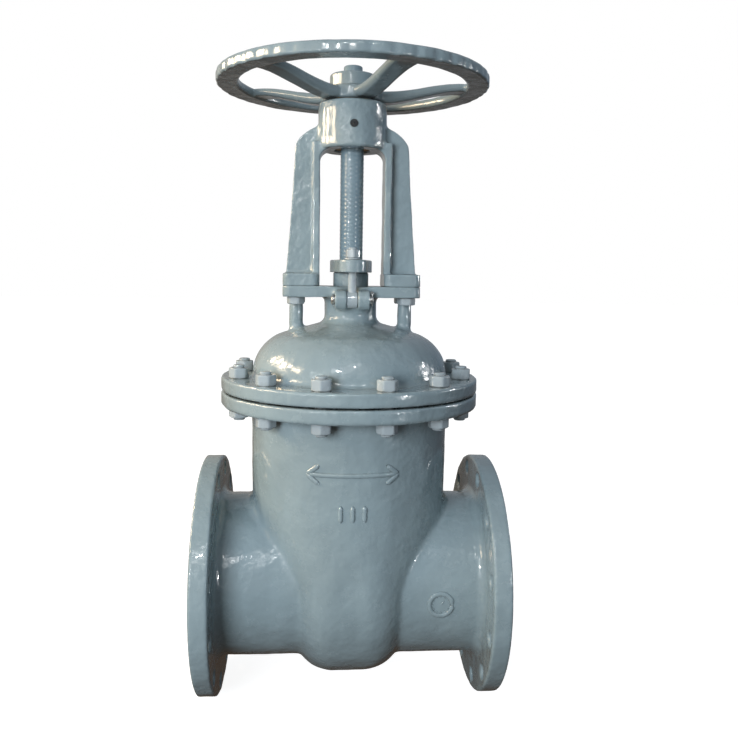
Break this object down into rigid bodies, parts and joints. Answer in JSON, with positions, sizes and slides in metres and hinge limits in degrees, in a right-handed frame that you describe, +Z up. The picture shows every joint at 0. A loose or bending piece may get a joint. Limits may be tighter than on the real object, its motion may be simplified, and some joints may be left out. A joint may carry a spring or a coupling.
{
  "type": "gate valve",
  "caption": "Flanged wedge gate valve with domed bonnet, outside screw and yoke, rising stem and spoked handwheel, shown closed.",
  "frame": {"origin": "where the pipe's centre line crosses the stem's centre line, inside the closed wedge", "axes": "+X along the pipe, +Z up the stem to the handwheel, +Y from the oiler side of the yoke to its back"},
  "size_m": [0.57, 0.502, 1.201],
  "materials": {
    "cast_enamel": "smooth glossy enamel over cast iron",
    "wheel_enamel": "smooth glossy enamel over cast iron",
    "stem_steel": "threaded bar under a thin coat",
    "plated_steel": "plated fastener steel",
    "pin_steel": "plain bright steel",
    "bearing_steel": "ground and polished",
    "cage_brass": "stamped",
    "nut_bronze": "machined bronze",
    "seat_bronze": "lapped bronze",
    "wedge_iron": "as cast, primed",
    "gasket_sheet": "compressed fibre sheet",
    "packing_graphite": "braided graphite"
  },
  "bodies": {
    "valve_casing": {"body": "cast_enamel", "seat_ring_inlet": "seat_bronze", "seat_ring_outlet": "seat_bronze", "bonnet_gasket": "gasket_sheet", "bonnet": "cast_enamel", "bonnet_studs": "plated_steel", "bonnet_nuts_top": "plated_steel", "bonnet_nuts_bottom": "plated_steel", "backseat_bushing": "nut_bronze", "packing_rings": "packing_graphite", "gland_follower": "pin_steel", "gland_flange": "cast_enamel", "gland_eyebolts": "plated_steel", "eyebolt_pins": "pin_steel", "split_pins": "pin_steel", "gland_washers": "plated_steel", "gland_nuts": "plated_steel", "yoke": "cast_enamel", "yoke_bolts": "plated_steel", "lower_housing_race": "bearing_steel", "upper_housing_race": "bearing_steel", "bearing_retainer": "pin_steel", "retainer_screw": "pin_steel", "grease_fitting": "pin_steel"},
    "handwheel_and_nut": {"handwheel": "wheel_enamel", "stem_nut": "nut_bronze", "wheel_key": "pin_steel", "wheel_lock_nut": "wheel_enamel", "lower_shaft_race": "bearing_steel", "upper_shaft_race": "bearing_steel"},
    "bearing_cages": {"lower_balls": "bearing_steel", "lower_cage": "cage_brass", "upper_balls": "bearing_steel", "upper_cage": "cage_brass"},
    "stem_and_wedge": {"stem": "stem_steel", "wedge": "wedge_iron", "wedge_ring_inlet": "seat_bronze", "wedge_ring_outlet": "seat_bronze"}
  },
  "joints": [
    {"name": "handwheel_spin", "type": "hinge", "parent": "valve_casing", "child": "handwheel_and_nut", "pos_m": [0, 0, 0.9], "axis": [0, 0, 1], "range_deg": [0, 13680]},
    {"name": "stem_lift", "type": "slide", "parent": "valve_casing", "child": "stem_and_wedge", "axis": [0, 0, 1], "range_m": [0, 0.30401]},
    {"name": "cage_spin", "type": "hinge", "parent": "valve_casing", "child": "bearing_cages", "pos_m": [0, 0, 0.86], "axis": [0, 0, 1], "range_deg": [0, 6840]}
  ],
  "couplings": [
    {"joint": "stem_lift", "follows": "handwheel_spin", "m_per_rad": 0.0012732},
    {"joint": "cage_spin", "follows": "handwheel_spin", "ratio": 0.5}
  ]
}
